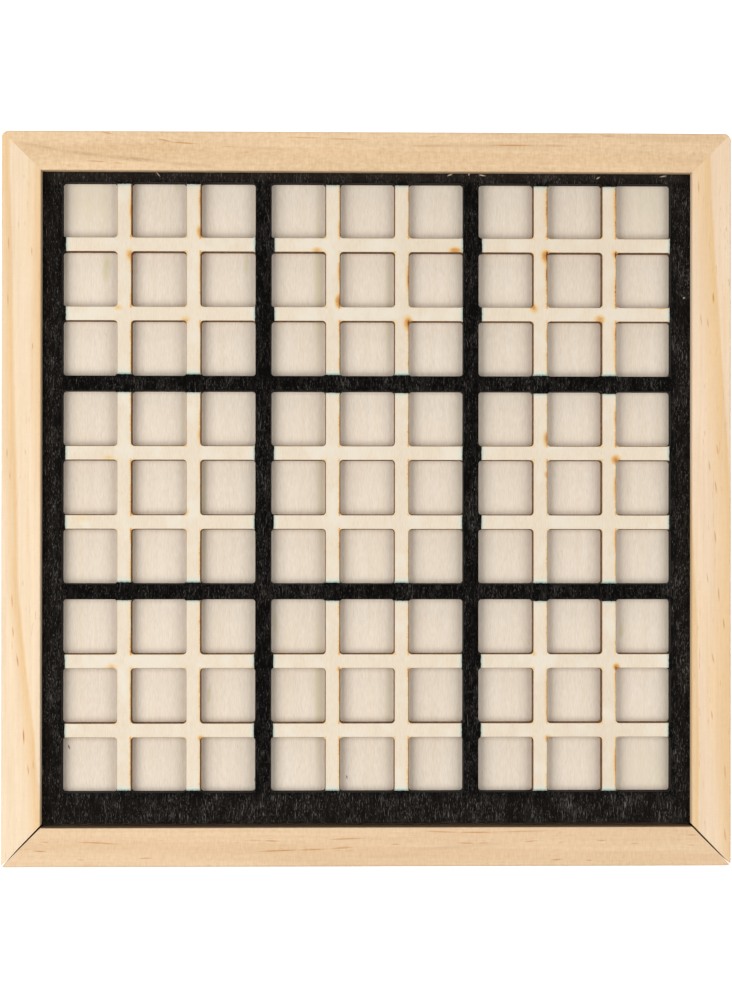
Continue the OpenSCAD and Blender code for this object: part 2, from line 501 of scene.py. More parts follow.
    def finish(self, colour, roughness, specular, bump=None):
        """The material, with its colour, roughness, gloss and the height of its grain."""
        self.put(self.shader.inputs["Base Color"], colour)
        self.put(self.shader.inputs["Roughness"], roughness)
        self.shader.inputs["Specular IOR Level"].default_value = specular
        if bump is not None:
            node = self.add("ShaderNodeBump")
            node.inputs["Strength"].default_value = BUMP_STRENGTH
            node.inputs["Distance"].default_value = BUMP_DEPTH * MM
            self.put(node.inputs["Height"], bump)
            self.put(self.shader.inputs["Normal"], node.outputs[0])
        return self.material


Rings = namedtuple("Rings", "edge spacing dark lean slope drift", defaults=(0.02, (0.0, 1.0, 0.0)))
Texture = namedtuple("Texture", "warmth patch streak fibre saw mottle")


def ring_edges(g, count, begins, ends, falls):
    """Dark edge of each ring: it comes up slowly from begins to ends and is gone again from falls to 1."""
    through = g.math("FRACT", count)
    return g.times(g.step(through, begins, ends), g.step(through, 1.0, falls))


def ring_layer(g, along, rings, seed):
    """How far a place lies through the year rings, in mm, with their lean, slope, drift and waves."""
    begin, end, rise = rings.drift
    lean = math.radians(rings.lean)
    part = g.split(g.vector("SUBTRACT", g.place, rings.edge))
    return g.sum(
        g.times(part[1 - along], math.cos(lean)),
        g.times(part[Z], math.sin(lean)),
        g.times(part[along], rings.slope),
        g.times(g.step(g.split(g.place)[along], begin, end), rise),
        g.swing(g.grain(along, *RING_WANDER, seed, detail=1.0), 1.2),
        g.swing(g.grain(along, *RING_RIPPLE, seed + 7, detail=1.0), 0.6),
    )


def stained(g, along, colour, fibre, mottle, seed, dashes, smears):
    """Resin flecks all over, then the grey smears and resin dashes of one rail."""
    flecks = g.step(g.grain(along, *RESIN_FLECK, seed + 4, detail=1.0), 0.66, 0.74)
    area = g.step(g.grain(along, *FLECKED_AREA, seed + 5, detail=1.0), 0.46, 0.6)
    colour = g.tint(colour, RESIN, g.times(flecks, area), RESIN_FLECKS_SHOWN)
    if smears:
        cloudy = g.raised(g.step(mottle, 0.35, 0.6), 0.2, 0.6)
        colour = g.tint(colour, GREY_STAIN, g.marks(smears, RAIL_TOP), cloudy)
    if dashes:
        broken = g.step(fibre, 0.15, 0.45)
        colour = g.tint(colour, RESIN, g.marks(dashes, RAIL_TOP), broken)
    return colour


def side_faces(g, along, colour, layer, patch, seed, inward):
    """Fine rings on faces that don't look up or into the frame, and painted shade at the top of the inner
    face.
    """
    normal = g.add("ShaderNodeNewGeometry").outputs["Normal"]
    upward = g.step(g.split(normal)[Z], 0.5, 0.9)
    shown = g.raised(upward, FINE_RING_SHOWN, -FINE_RING_SHOWN)
    bowed = g.math("ADD", layer, g.swing(g.grain(along, *RING_BOW, seed + 9, detail=1.0), 6.0))
    lines = ring_edges(g, g.times(bowed, 1 / FINE_RING), 0.3, 0.93, 0.94)
    if not inward:
        return g.tint(colour, RING_LINE, lines, shown)
    facing, shade_shown = inward
    inner = g.step(g.vector("DOT_PRODUCT", normal, facing), 0.5, 0.97)
    shown = g.times(shown, g.math("SUBTRACT", 1.0, inner))
    colour = g.tint(colour, RING_LINE, lines, shown)
    # Painted shade: the top few millimetres of the inner face go over to dark brown
    uneven_height = g.math("ADD", g.split(g.place)[Z], g.swing(patch, 3.0))
    upper = g.step(uneven_height, RAIL_TOP - SHADE_ENDS, RAIL_TOP - SHADE_FULL)
    return g.tint(colour, PAINTED_SHADE, g.times(inner, upper), shade_shown)


def pine(name, along, tones, rings, texture, seed, inward=None, dashes=(), smears=(), bands=()):
    """Sanded pine with its grain along the X or Y axis.

    Tones are the pale and the dark of a year ring, which darkens slowly up to the edge of the next ring.
    Rings gives a point on such an edge, the spacing, how much of it is dark, the lean to the vertical in
    degrees, the slope along the grain, and a drift: where along the grain it starts and ends, and how far
    it goes. Texture gives the warmth of the changes and how much of each kind shows. Inward is the way
    that the face inside the frame looks and how much painted shade darkens its top. Dashes, smears and
    bands are marks on top.
    """
    g = Graph(name)
    layer = ring_layer(g, along, rings, seed)
    count = g.math("MULTIPLY_ADD", layer, 1 / rings.spacing, RING_PHASE)
    late = ring_edges(g, count, RING_EDGE - rings.dark, RING_EDGE, 0.93)
    patch = g.grain(along, *PINE_PATCH, seed + 6, detail=1.0)
    streak = g.grain(along, *PINE_STREAK, seed + 1)
    fibre = g.grain(along, *PINE_FIBRE, seed + 2)
    saw = g.grain(1 - along, *SAW_MARK, seed + 3)
    mottle = g.grain(along, *PINE_MOTTLE, seed + 8)
    pale, dark = tones
    streaked = g.raised(g.step(streak, 0.3, 0.6), 0.5, 0.5)
    colour = g.tint(pale, dark, late, streaked)
    colour = g.tint(colour, dark, g.step(patch, 0.5, 0.75), PATCHES_SHOWN)
    if bands:
        colour = g.mix(g.marks(bands, RAIL_TOP), colour, dark)
    noises = (patch, streak, fibre, saw, mottle)
    swings = [g.swing(noise, amount) for noise, amount in zip(noises, texture[1:])]
    colour = g.lit(colour, swings, texture.warmth)
    colour = stained(g, along, colour, fibre, mottle, seed, dashes, smears)
    colour = side_faces(g, along, colour, layer, patch, seed, inward)
    height = g.sum(fibre, g.times(streak, 0.5))
    return g.finish(colour, roughness=g.raised(fibre, 0.5, 0.2), specular=0.2, bump=height)


def ply_tone(g, along, pale, seed, figure=1.0):
    """Face of a thin sheet of pale plywood, with its grain along one axis, and its fine lines.

    Figure is how much the grain shows.
    """
    cloud = g.grain(along, *SHEET_CLOUD, seed, detail=1.0)
    band = g.grain(along, *SHEET_BAND, seed + 1)
    line = g.grain(along, *SHEET_LINE, seed + 2)
    noises = (cloud, band, line)
    swings = [g.swing(noise, amount * figure) for noise, amount in zip(noises, SHEET_SWINGS)]
    colour = g.lit(pale, swings, SHEET_WARMTH)
    pores = g.step(g.grain(along, *SHEET_PORE, seed + 3, detail=1.0), 0.72, 0.8)
    return g.tint(colour, PORE, pores, PORES_SHOWN), line


def plywood(name, along, pale, seed, stains=(), figure=0.0):
    """Bare sheet with warm streaks along its grain.

    Stains are marks on its top, each list with its height and colour. Figure is how much the veneer's wavy
    lines show.
    """
    g = Graph(name)
    colour, line = ply_tone(g, along, pale, seed, BARE_SHEET_FIGURE)
    warm = g.step(g.grain(along, *SHEET_STREAK, seed + 4), 0.56, 0.76)
    colour = g.tint(colour, WARM_STREAK, warm, WARM_STREAKS_SHOWN)
    if figure:
        count = g.times(g.grain(along, *VENEER_WAVE, seed + 5, detail=1.0), VENEER_LINES)
        colour = g.tint(colour, VENEER_LINE, ring_edges(g, count, 0.2, 0.9, 0.92), figure)
    for marks, height, stain in stains:
        colour = g.tint(colour, stain, g.marks(marks, height), g.step(line, 0.25, 0.5))
    return g.finish(colour, roughness=g.raised(line, 0.55, 0.2), specular=0.25, bump=line)


ANY_HEIGHT = 1000.0


def local_cells(g, place, step):
    """Distance of a place from the middle of the step that it is in, of three along X and along Y."""
    sizes = (step, step, ANY_HEIGHT)
    index = g.vector("FLOOR", g.vector("ADD", g.vector("DIVIDE", place, sizes), (0.5, 0.5, 0.5)))
    index = g.vector("MINIMUM", g.vector("MAXIMUM", index, (-1.0, -1.0, 0.0)), (1.0, 1.0, 0.0))
    return g.vector("SUBTRACT", place, g.vector("MULTIPLY", index, sizes))


def past_stencil(g, from_grid):
    """How far a place lies outside the stencil's bare windows, in mm, and its place in its window.

    The paint's edge is slightly ragged.
    """
    stencil = g.add_linked("ShaderNodeMapping", from_grid, vector_type="TEXTURE")
    stencil.inputs["Location"].default_value = (*STENCIL_SHIFT, 0.0)
    stencil.inputs["Rotation"].default_value = (0.0, 0.0, math.radians(STENCIL_TURN))
    stencil.inputs["Scale"].default_value = (STENCIL_SCALE, STENCIL_SCALE, 1.0)
    window_place = local_cells(g, stencil.outputs[0], BLOCK_STEP)
    past = g.split(g.vector("SUBTRACT", g.vector("ABSOLUTE", window_place), (*WINDOW, 0.0)))
    ragged = g.swing(g.grain(Y, *PAINT_RAG, seed=31), PAINT_RAGGED)
    return g.math("ADD", g.math("MAXIMUM", past[X], past[Y]), ragged), g.split(window_place)


def painted_sheet():
    """Top of the grid sheet: matt black paint round the blocks, bare bars with scorched edges in them."""
    g = Graph("painted_sheet")
    from_grid = g.vector("SUBTRACT", g.place, (0.0, GRID_Y, 0.0))
    past_edge, window_place = past_stencil(g, from_grid)
    paint = g.step(past_edge, *PAINT_EDGE)
    bare, line = bare_bars(g, from_grid, past_edge, window_place[Y])
    film = g.grain(Y, *PAINT_FILM, seed=43)
    black = black_paint(g, from_grid, film)
    height = g.math("MULTIPLY_ADD", paint, 0.4, line)
    colour = g.mix(paint, bare, black)
    return g.finish(colour, roughness=g.raised(film, 0.55, 0.2), specular=0.02, bump=height)


def bare_bars(g, from_grid, past_edge, window_y):
    """Colour of the bare bars, with scorch and with paint that crept under the stencil, and their grain."""
    bare, line = ply_tone(g, Y, BARE_BAR, seed=12)
    bleached = g.step(g.cloud(BLEACH_CLOUD), 0.46, 0.68)
    bare = g.tint(bare, BLEACHED_BAR, bleached, BLEACHED_SHOWN)
    bare = g.tint(bare, HEATED_BAR, g.spot(*HOT_CORNER), HEATED_SHOWN)
    bare = scorched(g, from_grid, bare)
    crept = g.raised(g.step(window_y, *WINDOW_FRONT), CREPT_SHOWN, CREPT_MORE)
    bare = g.tint(bare, PAINT_HAZE, g.step(past_edge, *HAZE_STRETCH), crept)
    bare = g.tint(bare, PAINT_RIM, g.step(past_edge, *RIM_STRETCH), crept)
    return bare, line


def black_paint(g, from_grid, film):
    """Colour of the paint: worn in flecks along the grain, dusty near the rails, chipped in places."""
    along = g.split(from_grid)[Y]
    outward = g.split(g.vector("ABSOLUTE", from_grid))
    dusty = g.step(g.math("MAXIMUM", outward[X], outward[Y]), *DUSTY_RIM)
    thin = g.swing(g.cloud(THIN_CLOUD), 0.26)
    short = g.math("ADD", g.grain(Y, *SHORT_FLECK, seed=41, detail=1.0), thin)
    long = g.math("ADD", g.grain(Y, *LONG_FLECK, seed=45, detail=1.0), thin)
    long = g.math("MULTIPLY_ADD", g.step(along, *WORN_FRONT), 0.035, long)
    flecks = g.math("MAXIMUM", g.step(short, 0.58, 0.84), g.step(long, 0.64, 0.82))
    grey = g.step(g.math("ADD", g.grain(Y, *PAINT_WEAR, seed=47), thin), 0.42, 0.72)
    black = g.lit(PAINT, [g.swing(film, 1.8)], (1.0, 1.0, 1.0))
    black = g.tint(black, WORN_PAINT, grey, WORN_PAINT_SHOWN)
    black = g.tint(black, PAINT_FLECK, flecks, g.raised(dusty, FLECKS_SHOWN, FLECKS_MORE))
    black = g.tint(black, DUST, dusty, DUST_SHOWN)
    black = g.tint(black, BACK_DUST, g.step(along, *DUSTY_BACK), BACK_DUST_SHOWN)
    return g.tint(black, CHIP, g.marks(PALE_SPECKS, SHEET_TOP), CHIPS_SHOWN)


def heat_on_bars(g, from_grid):
    """How hot each place of the bars got: left of each cell, round all cells, and in single spots."""
    block_place = local_cells(g, from_grid, BLOCK_STEP)
    cell_place = local_cells(g, block_place, CELL_STEP)
    part = g.split(cell_place)
    past = g.split(g.vector("SUBTRACT", g.vector("ABSOLUTE", cell_place), (CELL / 2, CELL / 2, 0.0)))
    uneven = g.step(g.cloud(HEAT_CLOUD, detail=3.0), 0.3, 0.7)
    ragged = g.swing(g.grain(X, *SCORCH_RAG, seed=51), SCORCH_RAGGED)
    left = g.sum(g.times(part[X], -1.0), -CELL / 2, g.times(ragged, 0.6))
    beside = g.step(g.math("ABSOLUTE", part[Y]), CELL / 2 + 0.9, CELL / 2 - 0.5)
    growth = g.raised(g.spot(*HOT_CORNER), *GROWTH)
    here = g.times(g.times(beside, growth), g.step(left, -0.3, 0.0))
    core = g.times(g.step(left, *CORE_REACH), g.raised(uneven, *CORE_HEAT))
    halo = g.times(g.step(left, *HALO_REACH), g.raised(uneven, *HALO_HEAT))
    rim = g.step(g.math("ADD", g.math("MAXIMUM", past[X], past[Y]), ragged), *RIM_REACH)
    corner = g.step(g.math("MINIMUM", past[X], past[Y]), *CORNER_REACH)
    at_corner = g.times(corner, g.times(uneven, CORNER_HEAT))
    around = g.sum(g.raised(uneven, *RIM_HEAT), at_corner)
    spots = g.times(g.marks(SCORCH_SPOTS, SHEET_TOP, 1.0), g.raised(ragged, 1.0, 0.9))
    return g.sum(g.times(here, g.math("ADD", core, halo)), g.times(rim, around), spots)


def scorched(g, from_grid, wood):
    """Yellow to brown marks where the laser's heat reached the bars, strongest left of each cell."""
    heat = heat_on_bars(g, from_grid)
    wood = g.tint(wood, WEAK_SCORCH, g.step(heat, *WEAK_HEAT), SCORCH_SHOWN)
    wood = g.tint(wood, SCORCH, g.step(heat, *MIDDLE_HEAT), SCORCH_SHOWN)
    return g.mix(g.step(heat, *STRONG_HEAT), wood, STRONG_SCORCH)


def charred(g):
    """Colour of a wall that a laser cut, and the soot on it."""
    soot = g.cloud(SOOT_CLOUD, detail=3.0)
    return g.mix(g.step(soot, 0.3, 0.7), CHAR, PALE_CHAR), soot


def cut_edge():
    """Charred wall of a tile."""
    g = Graph("cut_edge")
    colour, soot = charred(g)
    return g.finish(colour, roughness=0.7, specular=0.1, bump=soot)


def painted_edge():
    """Wall of a cell: charred, and black where the paint ran over it."""
    g = Graph("painted_edge")
    colour, soot = charred(g)
    past_edge, _ = past_stencil(g, g.vector("SUBTRACT", g.place, (0.0, GRID_Y, 0.0)))
    colour = g.mix(g.step(past_edge, *PAINT_EDGE), colour, PAINTED_CHAR)
    return g.finish(colour, roughness=0.7, specular=0.1, bump=soot)


def ink():
    """Black printed digits, a little worn."""
    g = Graph("digit_ink")
    worn = g.cloud(INK_CLOUD, detail=3.0)
    colour = g.mix(g.step(worn, 0.55, 0.8), INK, WORN_INK)
    return g.finish(colour, roughness=g.raised(worn, 0.45, 0.2), specular=0.2)


# Points whose places agree to this many decimals of a millimetre are one point
POINT_DECIMALS = 4
BAKE_MAP = "OFBake"


class MeshData:
    """Points, faces and materials of one mesh, gathered face by face.

    Flatten gives the place of a point in the bake map, for a mesh that brings its own.
    """

    def __init__(self, flatten=None):
        self.points = []
        self.index = {}
        self.faces = []
        self.materials = []
        self.flatten = flatten
        self.flat = []

    def point(self, place):
        key = tuple(round(v, POINT_DECIMALS) for v in place)
        if key not in self.index:
            self.index[key] = len(self.points)
            self.points.append(place)
        return self.index[key]

    def face(self, places, material):
        self.faces.append([self.point(p) for p in places])
        self.materials.append(material)
        if self.flatten:
            self.flat += [self.flatten(material, p) for p in places]

    def band(self, lower, upper, material):
        """Faces between two loops with as many points."""
        for n in range(len(lower)):
            m = (n + 1) % len(lower)
            self.face([lower[n], lower[m], upper[m], upper[n]], material)

    def make(self, name, materials):
        mesh = bpy.data.meshes.new(name)
        mesh.from_pydata([[v * MM for v in p] for p in self.points], [], self.faces)
        for material in materials:
            mesh.materials.append(material)
        for polygon, material in zip(mesh.polygons, self.materials):
            polygon.material_index = material
        if self.flatten:
            layer = mesh.uv_layers.new(name=BAKE_MAP)
            for loop, place in zip(layer.data, self.flat):
                loop.uv = place
        return put_in_scene(name, mesh)


def rounded_square(half, radius, steps):
    """Points of a square with round corners, anticlockwise from the upper end of its right side."""
    points = []
    for quarter, (side_x, side_y) in enumerate(((1, 1), (-1, 1), (-1, -1), (1, -1))):
        for n in range(steps + 1):
            angle = math.radians(90 * (quarter + n / steps))
            across = side_x * (half - radius) + radius * math.cos(angle)
            up = side_y * (half - radius) + radius * math.sin(angle)
            points.append((across, up))
    return points


def framing(straight, low, high, steps):
    """Points on a rectangle about a cell, one for each point of the cell's rounded square."""
    corners = ((high[X], high[Y]), (low[X], high[Y]), (low[X], low[Y]), (high[X], low[Y]))
    points = []
    for quarter, (corner_x, corner_y) in enumerate(corners):
        end_x = math.copysign(straight, corner_x)
        end_y = math.copysign(straight, corner_y)
        for n in range(steps + 1):
            share = 1 - abs(2 * n / steps - 1)
            on_upright = (n < steps / 2) == (quarter % 2 == 0)
            slide_x = corner_x if on_upright else end_x + (corner_x - end_x) * share
            slide_y = end_y + (corner_y - end_y) * share if on_upright else corner_y
            points.append((slide_x, slide_y) if n != steps / 2 else (corner_x, corner_y))
    return points


def cell_middle(n):
    """Middle of a row or column of cells, from the middle of the grid."""
    return (n % 3) * CELL_STEP + (n // 3) * BLOCK_STEP + (CELL - GRID_SPAN) / 2


def cell_bounds(n, sheet_low, sheet_high, grid_middle):
    """Ends of the stretch of sheet that belongs to one row or column of cells."""
    low = sheet_low if n == 0 else (cell_middle(n - 1) + cell_middle(n)) / 2 + grid_middle
    high = sheet_high if n == CELLS_ACROSS - 1 else (cell_middle(n) + cell_middle(n + 1)) / 2 + grid_middle
    return low, high


TOP_FACE, WALL_FACE, BACK_FACE = 0, 1, 2
SAME_PLACE = 1e-6

# Where the faces lie across the bake map: start and width of the top's square and of the two strips
TOP_STRIP = (0.005, 0.955)
WALL_STRIP = (0.968, 0.01)
BACK_STRIP = (0.984, 0.012)


def map_place(kind, p):
    """Place in the bake map of a point of the grid sheet."""
    span = max(SHEET_HIGH[X] - SHEET_LOW[X], SHEET_HIGH[Y] - SHEET_LOW[Y])
    start, width = TOP_STRIP
    across, up = [start + width * (p[axis] - SHEET_LOW[axis]) / span for axis in (X, Y)]
    if kind == WALL_FACE:
        share = (p[Z] - SHEET_LOW[Z]) / (SHEET_HIGH[Z] - SHEET_LOW[Z])
        across = WALL_STRIP[0] + WALL_STRIP[1] * share
    if kind == BACK_FACE:
        across = BACK_STRIP[0] + BACK_STRIP[1] * across
    return [across, up]


def cell_rings(column, row):
    """Loops of points about one cell: the top round it, the opening from top to bottom, and the back."""
    middle = (cell_middle(column), cell_middle(row) + GRID_Y)
    low_x, high_x = cell_bounds(column, SHEET_LOW[X], SHEET_HIGH[X], 0.0)
    low_y, high_y = cell_bounds(row, SHEET_LOW[Y], SHEET_HIGH[Y], GRID_Y)
    low = (low_x - middle[X], low_y - middle[Y])
    high = (high_x - middle[X], high_y - middle[Y])
    bottom, top = SHEET_LOW[Z], SHEET_HIGH[Z]
    levels = (
        (BURNT_EDGE, top),
        (0.0, top - BURNT_EDGE),
        (-WALL_LEAN, bottom),
    )
    outer = framing(CELL / 2 - CELL_R, low, high, CORNER_STEPS)
    rings = [[(x + middle[X], y + middle[Y], top) for x, y in outer]]
    for grow, height in levels:
        loop = rounded_square(CELL / 2 + grow, CELL_R + grow, CORNER_STEPS)
        rings.append([(x + middle[X], y + middle[Y], height) for x, y in loop])
    rings.append([(x, y, bottom) for x, y, _ in rings[0]])
    return rings


def on_sheet_edge(first, second):
    """Whether two points lie on the same outer edge of the sheet."""
    for axis in (X, Y):
        for edge in (SHEET_LOW[axis], SHEET_HIGH[axis]):
            if abs(first[axis] - edge) < SAME_PLACE and abs(second[axis] - edge) < SAME_PLACE:
                return True
    return False


def grid_sheet():
    """The sheet with 81 square openings: flat top, burnt edges and leaning walls."""
    data = MeshData(map_place)
    kinds = (TOP_FACE, WALL_FACE, WALL_FACE, BACK_FACE)
    for row in range(CELLS_ACROSS):
        for column in range(CELLS_ACROSS):
            rings = cell_rings(column, row)
            for outside, inside, kind in zip(rings, rings[1:], kinds):
                data.band(outside, inside, kind)
            top, back = rings[0], rings[-1]
            for n in range(len(top)):
                m = (n + 1) % len(top)
                if on_sheet_edge(top[n], top[m]):
                    data.face([back[n], back[m], top[m], top[n]], WALL_FACE)
    materials = [MATERIAL[name] for name in ("painted_sheet", "painted_edge", "sheet_back")]
    piece = data.make("grid_sheet", materials)
    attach(piece, "case")
    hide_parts("grid_panel")


TILE_FACE, TILE_SIDE = 0, 1


def number_tiles(number):
    """The nine tiles of one number, with eased edges, charred sides and the digit on top."""
    node = f"number_tiles_{number}"
    low, high = node_box(node)
    side = high[Y] - low[Y]
    step = (high[X] - low[X] - side) / (CELLS_ACROSS - 1)
    bottom, top = low[Z], high[Z]
    levels = (
        (TILE_EASE, bottom),
        (0.0, bottom + TILE_EASE),
        (0.0, top - TILE_EASE),
        (TILE_EASE * EASE_MIDDLE, top - TILE_EASE * EASE_MIDDLE),
        (TILE_EASE, top),
    )
    data = MeshData()
    middles = [(low[X] + side / 2 + step * n, (low[Y] + high[Y]) / 2) for n in range(CELLS_ACROSS)]
    for middle_x, middle_y in middles:
        rings = []
        for inset, height in levels:
            loop = rounded_square(side / 2 - inset, TILE_CORNER_R - inset, CORNER_STEPS)
            rings.append([(x + middle_x, y + middle_y, height) for x, y in loop])
        for level, (lower, upper) in enumerate(zip(rings, rings[1:])):
            kind = TILE_FACE if level == len(rings) - 2 else TILE_SIDE
            data.band(lower, upper, kind)
        data.face(rings[-1], TILE_FACE)
        data.face(rings[0][::-1], TILE_FACE)
    piece = data.make(f"tiles_{number}", [MATERIAL["tile_face"], MATERIAL["cut_edge"]])
    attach(piece, "drawer")
    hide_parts(node)
    digits(number, middles, top)


def digit_mesh(number):
    """Mesh of one printed digit."""
    curve = bpy.data.curves.new(f"digit_{number}", "FONT")
    curve.body = str(number)
    curve.size = DIGIT_SIZE * MM
    curve.align_x = "CENTER"
    curve.align_y = "CENTER"
    curve.extrude = DIGIT_THICKNESS / 2 * MM
    curve.resolution_u = DIGIT_STEPS
    stamp = put_in_scene(f"digit_{number}", curve)
    evaluated = stamp.evaluated_get(bpy.context.evaluated_depsgraph_get())
    shape = bpy.data.meshes.new_from_object(evaluated)
    bpy.data.objects.remove(stamp)
    return shape


def digits(number, middles, top):
    """One number printed on the middle of each of its tiles."""
    shape = digit_mesh(number)
    points = [tuple(v.co) for v in shape.vertices]
    middle = [(min(p[axis] for p in points) + max(p[axis] for p in points)) / 2 for axis in (X, Y)]
    faces = [list(polygon.vertices) for polygon in shape.polygons]
    all_points = []
    all_faces = []
    for tile_x, tile_y in middles:
        first = len(all_points)
        shift_x = tile_x * MM - middle[X]
        shift_y = tile_y * MM - middle[Y]
        all_faces += [[v + first for v in face] for face in faces]
        all_points += [(x + shift_x, y + shift_y, z + top * MM) for x, y, z in points]
    mesh = bpy.data.meshes.new(f"digits_{number}")
    mesh.from_pydata(all_points, [], all_faces)
    mesh.materials.append(MATERIAL["ink"])
    piece = put_in_scene(f"digits_{number}", mesh)
    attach(piece, "drawer")


# Resin dashes, grey smears and bands of dark wood on the rails: x, y, half length, half width, turn in
# degrees, strength
LEFT_DASHES = (
    (-103.3, 76.2, 1.5, 0.3, 92, 0.5),
    (-103, 47, 1.2, 0.3, 87, 0.5),
    (-110.4, 78.7, 2.2, 0.3, 92, 0.5),
    (-110.6, 61.4, 2.2, 0.3, 92, 0.45),
    (-110.8, 14.1, 1.5, 0.3, 91, 0.45),
    (-109.9, 7, 1.2, 0.3, 93, 0.45),
    (-109.2, -31.4, 2.2, 0.3, 93, 0.6),
    (-108.9, -40.9, 1.9, 0.3, 95, 0.6),
    (-107.5, -49.8, 2.2, 0.35, 98, 0.7),
    (-105.6, -72.9, 2.5, 0.35, 92, 0.9),
    (-104.2, -83.3, 1.9, 0.3, 96, 0.6),
    (-102.6, -81.8, 1.5, 0.3, 95, 0.4),
)
LEFT_BANDS = (
    (-100.4, 74, 94, 4.2, 90, 0.8),
)
RIGHT_DASHES = (
    (102.5, 96.8, 2.2, 0.3, 92, 0.6),
    (107.1, 62.4, 1.9, 0.35, 92, 0.8),
    (105.4, 54.6, 1.6, 0.3, 95, 0.5),
    (103.3, 55.6, 1.9, 0.3, 96, 0.5),
    (111.1, 83.8, 0.9, 0.3, 86, 0.4),
    (108.4, 15.3, 1.9, 0.35, 98, 0.5),
    (107.9, 3.9, 2.2, 0.35, 97, 0.6),
    (105.9, 10.4, 1.9, 0.35, 96, 0.5),
    (107.7, -11.6, 2.2, 0.35, 95, 0.6),
    (108.8, -29.3, 2.5, 0.35, 94, 0.5),
    (110.4, -38.5, 1.9, 0.35, 96, 0.6),
    (107, -49.1, 1.9, 0.35, 101, 0.5),
    (105.3, -24.3, 1.9, 0.3, 98, 0.5),
    (106.7, -66.7, 1.6, 0.35, 97, 0.5),
    (110.8, -84.3, 2.5, 0.35, 94, 0.5),
    (110.8, -103.8, 2.2, 0.35, 97, 0.5),
)
RIGHT_SMEARS = (
    (112, 67.1, 1.6, 0.5, 92, 0.6),
)
RIGHT_BANDS = (
    (110.2, -62, 52, 6.4, 92, 0.55),
)
BACK_DASHES = (
    (-62.7, 110.5, 2.5, 0.32, -12, 0.7),
    (-56.7, 109.7, 4.2, 0.3, -4, 0.8),
    (-80.1, 112.6, 1.7, 0.3, -8, 0.7),
    (-19.3, 111.5, 5.9, 0.3, -1, 0.4),
    (-7, 111.1, 6.5, 0.3, -1, 0.55),
    (-83.3, 103.9, 3.4, 0.28, -4, 0.6),
    (-76.9, 103.4, 1.9, 0.28, -5, 0.5),
    (44.6, 109.4, 7.4, 0.3, 0, 0.75),
    (19.9, 111.9, 1.9, 0.3, 4, 0.45),
    (65.1, 112.1, 2.5, 0.3, 0, 0.4),
    (74.7, 112.4, 2.2, 0.3, 0, 0.5),
    (18.6, 109.1, 6.8, 0.5, 1, 0.3),
    (57.9, 109.4, 4, 0.5, -2, 0.3),
)
BACK_SMEARS = (
    (-100.8, 108.4, 7.5, 0.9, -10, 0.5),
    (-87.3, 106.3, 8.7, 0.9, -7, 0.6),
    (-72, 104.7, 11.7, 1, -5, 0.75),
    (-55.4, 103.1, 8.6, 0.9, -4, 0.4),
    (-36.3, 108.5, 15.4, 0.9, -3, 0.3),
    (36.6, 109.2, 27.8, 1, 0, 0.35),
    (91.4, 111.6, 14.6, 1.6, -2, 0.3),
)
FRONT_DASHES = (
    (-82.8, -105.8, 6.8, 0.28, -3, 0.75),
    (-99, -105.5, 1.2, 0.28, -3, 0.6),
    (-100.7, -108.3, 2.3, 0.28, -2, 0.8),
    (-88.1, -111, 1.4, 0.25, -4, 0.5),
    (-68.2, -110.5, 2.3, 0.28, 2, 0.6),
    (-29.3, -105.3, 2.5, 0.28, -2, 0.8),
    (-34.8, -105.1, 3.1, 0.4, -1, 0.35),
    (-6.2, -104.7, 5.9, 0.3, 2, 0.7),
    (-27.4, -108.3, 6.8, 0.32, 2, 0.85),
    (-17, -108, 4.9, 0.3, 2, 0.7),
    (-7.7, -107.5, 3.7, 0.3, 3, 0.75),
    (23.1, -102.6, 6.2, 0.3, -2, 0.6),
    (33.6, -102.8, 6.2, 0.3, 0, 0.75),
    (48.8, -102.5, 9, 0.28, 1, 0.5),
    (8.8, -106.4, 1.7, 0.28, -1, 0.6),
    (30.4, -106.1, 2.9, 0.28, -1, 0.65),
    (35.9, -106.1, 2, 0.28, 3, 0.5),
    (50.6, -105.6, 2.2, 0.3, 5, 0.6),
    (59.9, -105.9, 0.9, 0.28, 0, 0.5),
    (72.5, -105.4, 1.7, 0.28, 2, 0.6),
    (82.8, -106.3, 1.2, 0.25, 0, 0.5),
    (58.5, -111.3, 2, 0.3, 3, 0.7),
    (68.7, -111.5, 1.1, 0.28, -2, 0.6),
    (100.5, -103.8, 1.6, 0.28, -1, 0.6),
    (100.5, -106.9, 1.2, 0.25, 0, 0.5),
)
FRONT_SMEARS = (
    (29.3, -107.1, 17.3, 0.9, 4, 0.3),
    (8.9, -110, 9.3, 0.9, 2, 0.25),
)
# Yellowish smudges and streaks, and dark nicks, on the sheet below the cells. The last three smudges are wide
# faint tints that make the floors of three corner cells a little darker and yellower.
FLOOR_SMUDGES = (
    (-81, 71.8, 5, 1.8, 84, 0.6),
    (-59.2, 97.6, 2.6, 1.2, 88, 0.5),
    (-37.6, 73, 4, 1.2, 88, 0.45),
    (-49.1, -60.9, 3.2, 1, 86, 0.7),
    (-28.3, -38.9, 4, 0.9, 90, 0.5),
    (79.5, -41, 2.6, 1.1, 90, 0.55),
    (-15.2, 68, 28, 1.8, 90, 0.5),
    (-14.4, 2, 26, 1.6, 90, 0.35),
    (-15, -60, 28, 1.8, 90, 0.45),
    (6.6, 60, 24, 1.3, 90, 0.4),
    (6.6, -62, 26, 1.2, 90, 0.3),
    (-50.6, -4, 30, 1.2, 90, 0.35),
    (-57.3, 24, 26, 1, 90, 0.25),
    (87, 92, 12, 12, 90, 0.16),
    (87, -84, 10, 12, 90, 0.18),
    (-86, 92, 10, 12, 90, 0.2),
)
FLOOR_NICKS = (
    (-92.5, -77, 0.9, 0.35, 110, 0.9),
    (-6.2, -86.5, 0.7, 0.3, 100, 0.8),
    (-34.8, -87.1, 0.9, 0.25, 80, 0.8),
)


